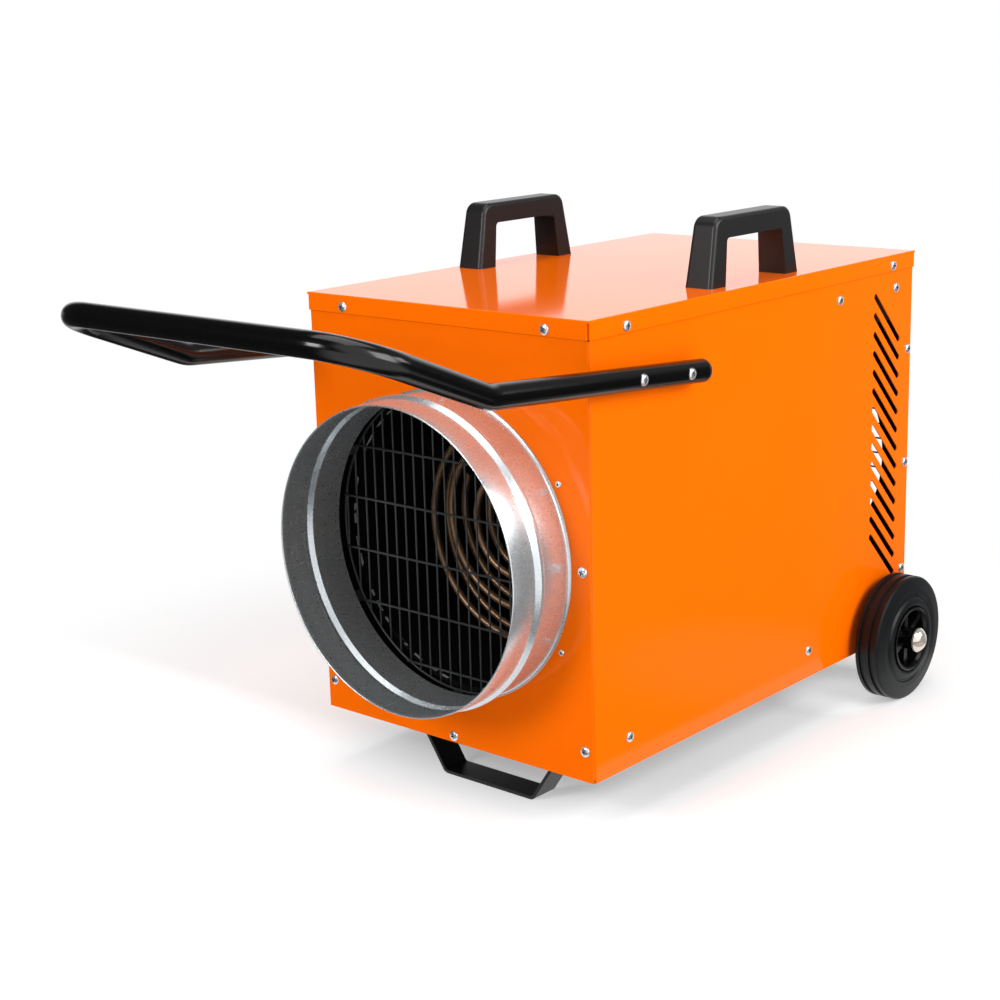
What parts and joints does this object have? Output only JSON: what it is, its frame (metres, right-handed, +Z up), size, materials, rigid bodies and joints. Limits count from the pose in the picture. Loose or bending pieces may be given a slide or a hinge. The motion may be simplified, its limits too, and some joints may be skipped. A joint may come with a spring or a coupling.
{
  "type": "forced air heater",
  "caption": "Boxy wheeled forced air heater with a round duct spigot, wire grille, heating coils, slotted sides, push handle, carrying handles and rear controls.",
  "frame": {"origin": "on the floor under the middle of the whole heater's bounding box", "axes": "+Z up, -Y out of the duct spigot (front), +X to the right seen from the front"},
  "size_m": [0.551, 1.091, 0.6635],
  "materials": {
    "orange_paint": "gloss",
    "galvanised": "satin",
    "zinc_plated": "satin",
    "sheathed_steel": "satin",
    "black_paint": "satin",
    "black_wire": "satin",
    "black_plastic": "satin",
    "grey_plastic": "satin",
    "white_plastic": "gloss",
    "ceramic": "gloss",
    "rubber": "matte",
    "cast_motor": "satin",
    "brass": "polished",
    "lamp": "gloss",
    "cover_red": "gloss"
  },
  "bodies": {
    "casing": {"axle": "zinc_plated", "axle_brackets": "orange_paint", "axle_caps": "zinc_plated", "base_pan": "orange_paint", "carry_handle_screws": "zinc_plated", "contactors": "grey_plastic", "duct_spigot": "galvanised", "electrics_tray": "black_paint", "element_brackets": "black_paint", "element_collars": "brass", "element_terminals": "ceramic", "fan_bulkhead": "black_paint", "fan_motor": "cast_motor", "foot_bolts": "zinc_plated", "foot_nuts": "zinc_plated", "front_foot": "black_paint", "front_panel": "orange_paint", "grille_screws": "zinc_plated", "guard_screws": "zinc_plated", "heat_drum": "black_paint", "heating_element_inner": "sheathed_steel", "heating_element_middle": "sheathed_steel", "heating_element_outer": "sheathed_steel", "inlet_guard": "black_wire", "inlet_hinge_pin": "zinc_plated", "inlet_pins": "brass", "left_carry_handle": "black_plastic", "left_side_panel": "orange_paint", "limit_thermostat": "black_plastic", "motor_mount": "black_paint", "outlet_grille": "black_wire", "panel_screws": "zinc_plated", "pilot_lamps": "lamp", "power_inlet": "cover_red", "push_handle": "black_paint", "push_handle_bolts": "zinc_plated", "push_handle_bushes": "zinc_plated", "push_handle_caps": "black_plastic", "push_handle_nuts": "zinc_plated", "push_handle_spacers": "black_plastic", "rear_panel": "orange_paint", "right_carry_handle": "black_plastic", "right_side_panel": "orange_paint", "selector_body": "grey_plastic", "terminal_block": "white_plastic", "thermostat_body": "white_plastic", "top_cover": "orange_paint", "wheel_spacers": "black_plastic"},
    "right_wheel": {"right_tyre": "rubber", "right_wheel_centre": "black_plastic"},
    "left_wheel": {"left_tyre": "rubber", "left_wheel_centre": "black_plastic"},
    "fan": {"fan_impeller": "black_plastic", "motor_shaft": "zinc_plated"},
    "thermostat_control": {"thermostat_knob": "black_plastic", "thermostat_spindle": "zinc_plated"},
    "selector_control": {"selector_knob": "black_plastic", "selector_spindle": "zinc_plated"},
    "reset": {"reset_button": "cover_red"},
    "socket_lid": {"inlet_cover": "cover_red"}
  },
  "joints": [
    {"name": "right_wheel_spin", "type": "hinge", "parent": "casing", "child": "right_wheel", "pos_m": [0.2345, 0.43552, 0.0824], "axis": [1, 0, 0], "continuous": true},
    {"name": "left_wheel_spin", "type": "hinge", "parent": "casing", "child": "left_wheel", "pos_m": [-0.2345, 0.43552, 0.0824], "axis": [1, 0, 0], "continuous": true},
    {"name": "fan_spin", "type": "hinge", "parent": "casing", "child": "fan", "pos_m": [0, 0.14952, 0.3085], "axis": [0, 1, 0], "continuous": true},
    {"name": "thermostat_turn", "type": "hinge", "parent": "casing", "child": "thermostat_control", "pos_m": [-0.11, 0.50753, 0.5275], "axis": [0, -1, 0], "range_deg": [-135, 135]},
    {"name": "selector_turn", "type": "hinge", "parent": "casing", "child": "selector_control", "pos_m": [-0.025, 0.50753, 0.5275], "axis": [0, -1, 0], "range_deg": [0, 135]},
    {"name": "reset_press", "type": "slide", "parent": "casing", "child": "reset", "axis": [0, -1, 0], "range_m": [0, 0.003], "stiffness_N_per_m": 600},
    {"name": "inlet_cover_hinge", "type": "hinge", "parent": "casing", "child": "socket_lid", "pos_m": [-0.158, 0.53753, 0.1655], "axis": [1, 0, 0], "range_deg": [0, 110], "stiffness_Nm_per_rad": 0.02}
  ]
}
